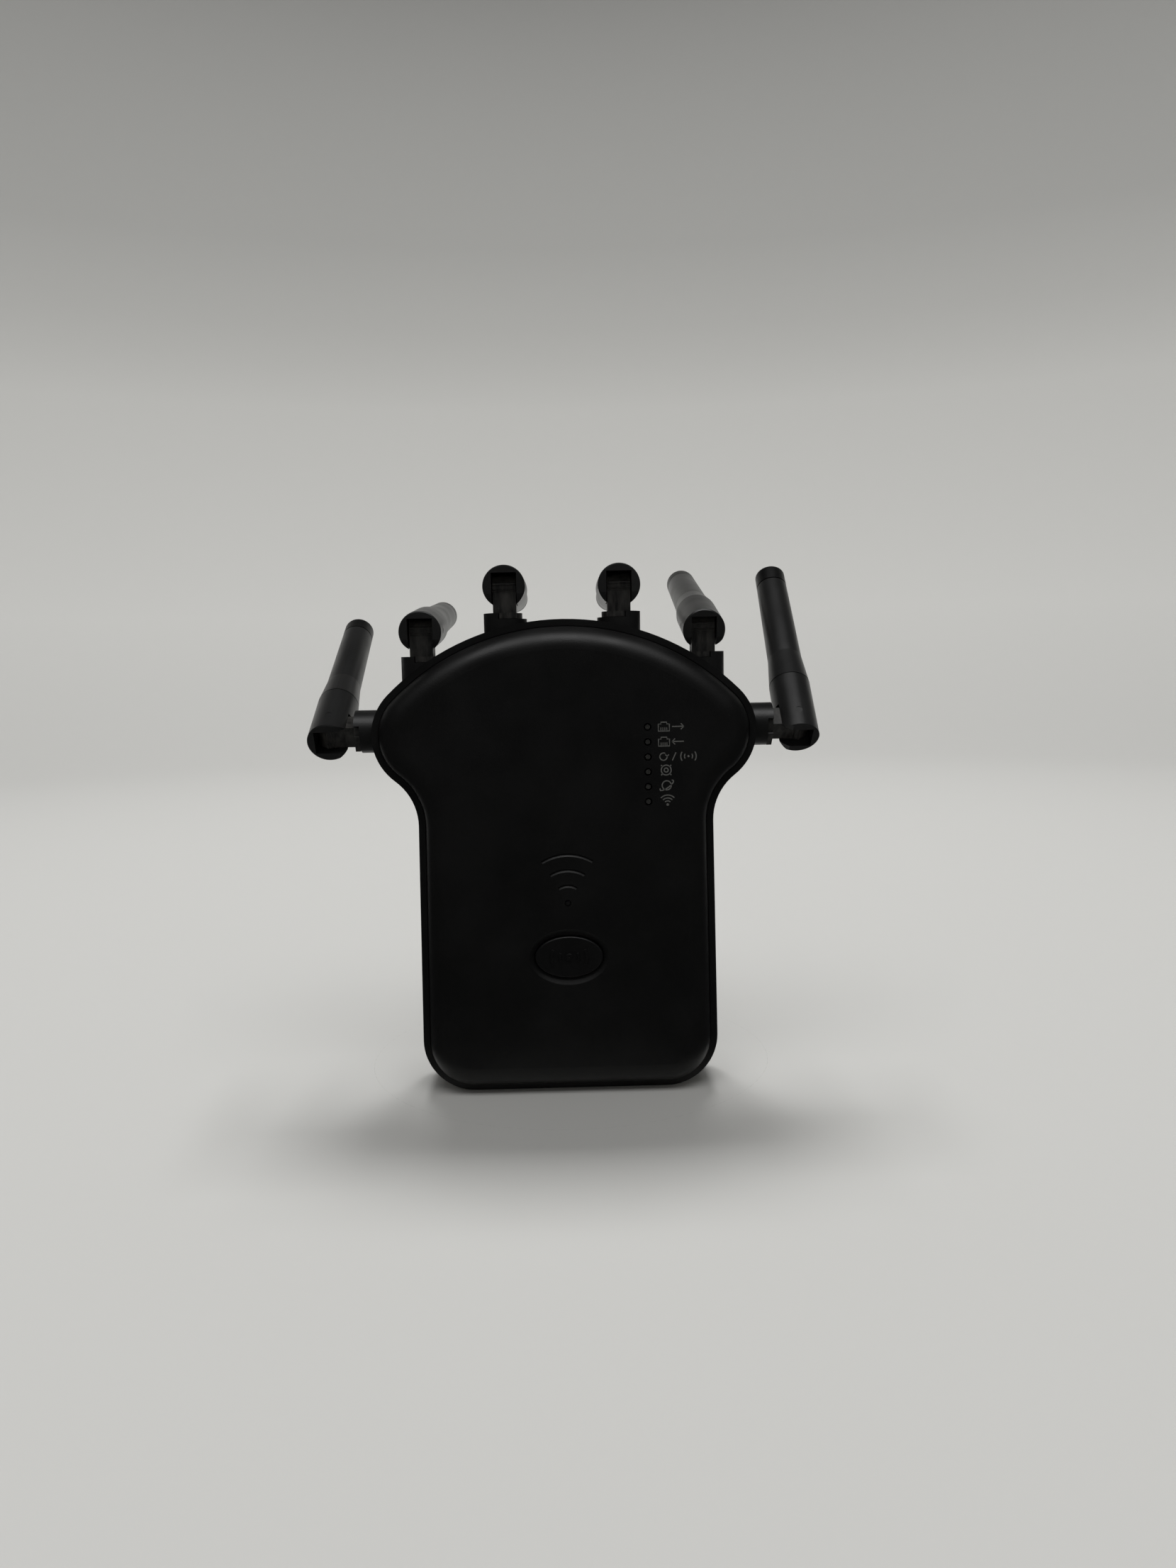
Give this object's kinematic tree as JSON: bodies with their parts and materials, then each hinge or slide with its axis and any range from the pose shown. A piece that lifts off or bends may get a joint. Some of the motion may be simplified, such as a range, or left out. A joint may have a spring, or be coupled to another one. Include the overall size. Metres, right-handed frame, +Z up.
{
  "type": "wifi range extender",
  "caption": "Plug-in wifi range extender with a shield-shaped matte housing, an oval button, a column of lamps and hinged antennas round its top.",
  "frame": {"origin": "centre of the plug block's face, where it meets the wall outlet", "axes": "+Z up in use, +X to the right seen from the front, +Y into the wall along the plug blades"},
  "size_m": [0.1428, 0.0756, 0.1493],
  "materials": {
    "cover_plastic": "fine matte texture",
    "button_plastic": "fine matte texture",
    "hinge_plastic": "satin",
    "tongue_plastic": "satin, scuffed",
    "sleeve_plastic": "satin",
    "pin_plastic": "satin",
    "blade_metal": "nickel plated",
    "screw_steel": "black oxide",
    "label_print": "printed film",
    "lamp_body": "clear over white",
    "clear_lens": "clear, slightly milky",
    "switch_black": "moulded",
    "board_green": "solder mask",
    "ferrite": "dull",
    "can_sleeve": "shrink sleeve",
    "shield_tin": "tin plated",
    "jack_plastic": "moulded",
    "contact_gold": "gold plated",
    "lead_jacket": "extruded",
    "element_brass": "bright"
  },
  "bodies": {
    "housing": {"front_cover": "cover_plastic", "rear_cover": "cover_plastic", "plug_block": "cover_plastic", "plug_blades": "blade_metal", "housing_screws": "screw_steel", "rating_label": "label_print", "indicator_leds": "lamp_body", "light_guide": "clear_lens", "wps_switch": "switch_black", "main_board": "board_green", "power_board": "board_green", "board_link": "switch_black", "transformer": "ferrite", "capacitors": "can_sleeve", "radio_shield": "shield_tin", "board_chips": "switch_black", "lan_jack": "jack_plastic", "wan_jack": "jack_plastic", "jack_contacts": "contact_gold", "antenna_leads": "lead_jacket", "antenna_1_socket": "hinge_plastic", "antenna_2_socket": "hinge_plastic", "antenna_3_socket": "hinge_plastic", "antenna_4_socket": "hinge_plastic", "antenna_5_socket": "hinge_plastic", "antenna_6_socket": "hinge_plastic"},
    "button": {"wps_button": "button_plastic", "wps_plunger": "switch_black"},
    "antenna_1_swivel": {"antenna_1_swivel": "tongue_plastic"},
    "antenna_1_arm": {"antenna_1_sleeve": "sleeve_plastic", "antenna_1_tip_cap": "sleeve_plastic", "antenna_1_element": "element_brass", "antenna_1_hinge_pin": "pin_plastic"},
    "antenna_2_swivel": {"antenna_2_swivel": "tongue_plastic"},
    "antenna_2_arm": {"antenna_2_sleeve": "sleeve_plastic", "antenna_2_tip_cap": "sleeve_plastic", "antenna_2_element": "element_brass", "antenna_2_hinge_pin": "pin_plastic"},
    "antenna_3_swivel": {"antenna_3_swivel": "tongue_plastic"},
    "antenna_3_arm": {"antenna_3_sleeve": "sleeve_plastic", "antenna_3_tip_cap": "sleeve_plastic", "antenna_3_element": "element_brass", "antenna_3_hinge_pin": "pin_plastic"},
    "antenna_4_swivel": {"antenna_4_swivel": "tongue_plastic"},
    "antenna_4_arm": {"antenna_4_sleeve": "sleeve_plastic", "antenna_4_tip_cap": "sleeve_plastic", "antenna_4_element": "element_brass", "antenna_4_hinge_pin": "pin_plastic"},
    "antenna_5_swivel": {"antenna_5_swivel": "tongue_plastic"},
    "antenna_5_arm": {"antenna_5_sleeve": "sleeve_plastic", "antenna_5_tip_cap": "sleeve_plastic", "antenna_5_element": "element_brass", "antenna_5_hinge_pin": "pin_plastic"},
    "antenna_6_swivel": {"antenna_6_swivel": "tongue_plastic"},
    "antenna_6_arm": {"antenna_6_sleeve": "sleeve_plastic", "antenna_6_tip_cap": "sleeve_plastic", "antenna_6_element": "element_brass", "antenna_6_hinge_pin": "pin_plastic"}
  },
  "joints": [
    {"name": "wps_button_press", "type": "slide", "parent": "housing", "child": "button", "axis": [0, 1, 0], "range_m": [0, 0.0006], "stiffness_N_per_m": 1500, "springref_m": -0.0005},
    {"name": "antenna_1_swing", "type": "hinge", "parent": "housing", "child": "antenna_1_swivel", "pos_m": [-0.0655, -0.022, 0.05], "axis": [1, 0, 0], "range_deg": [-29, 123]},
    {"name": "antenna_1_fold", "type": "hinge", "parent": "antenna_1_swivel", "child": "antenna_1_arm", "pos_m": [-0.0655, -0.022, 0.05], "axis": [0, -0.4848, 0.8746], "range_deg": [0, 90]},
    {"name": "antenna_2_swing", "type": "hinge", "parent": "housing", "child": "antenna_2_swivel", "pos_m": [-0.0391, -0.022, 0.0778], "axis": [0, 0, 1], "range_deg": [0, 16]},
    {"name": "antenna_2_fold", "type": "hinge", "parent": "antenna_2_swivel", "child": "antenna_2_arm", "pos_m": [-0.0391, -0.022, 0.0778], "axis": [1, 0, 0], "range_deg": [-6, 84]},
    {"name": "antenna_3_swing", "type": "hinge", "parent": "housing", "child": "antenna_3_swivel", "pos_m": [-0.0158, -0.022, 0.0893], "axis": [0, 0, 1], "range_deg": [0, 13]},
    {"name": "antenna_3_fold", "type": "hinge", "parent": "antenna_3_swivel", "child": "antenna_3_arm", "pos_m": [-0.0158, -0.022, 0.0893], "axis": [1, 0, 0], "range_deg": [0, 90]},
    {"name": "antenna_4_swing", "type": "hinge", "parent": "housing", "child": "antenna_4_swivel", "pos_m": [0.0158, -0.022, 0.0893], "axis": [0, 0, -1], "range_deg": [0, 13]},
    {"name": "antenna_4_fold", "type": "hinge", "parent": "antenna_4_swivel", "child": "antenna_4_arm", "pos_m": [0.0158, -0.022, 0.0893], "axis": [1, 0, 0], "range_deg": [0, 90]},
    {"name": "antenna_5_swing", "type": "hinge", "parent": "housing", "child": "antenna_5_swivel", "pos_m": [0.0391, -0.022, 0.0778], "axis": [0, 0, -1], "range_deg": [0, 20]},
    {"name": "antenna_5_fold", "type": "hinge", "parent": "antenna_5_swivel", "child": "antenna_5_arm", "pos_m": [0.0391, -0.022, 0.0778], "axis": [1, 0, 0], "range_deg": [-14.5, 75.5]},
    {"name": "antenna_6_swing", "type": "hinge", "parent": "housing", "child": "antenna_6_swivel", "pos_m": [0.0655, -0.022, 0.05], "axis": [1, 0, 0], "range_deg": [-46, 106]},
    {"name": "antenna_6_fold", "type": "hinge", "parent": "antenna_6_swivel", "child": "antenna_6_arm", "pos_m": [0.0655, -0.022, 0.05], "axis": [0, 0.7193, -0.6947], "range_deg": [0, 90]}
  ]
}
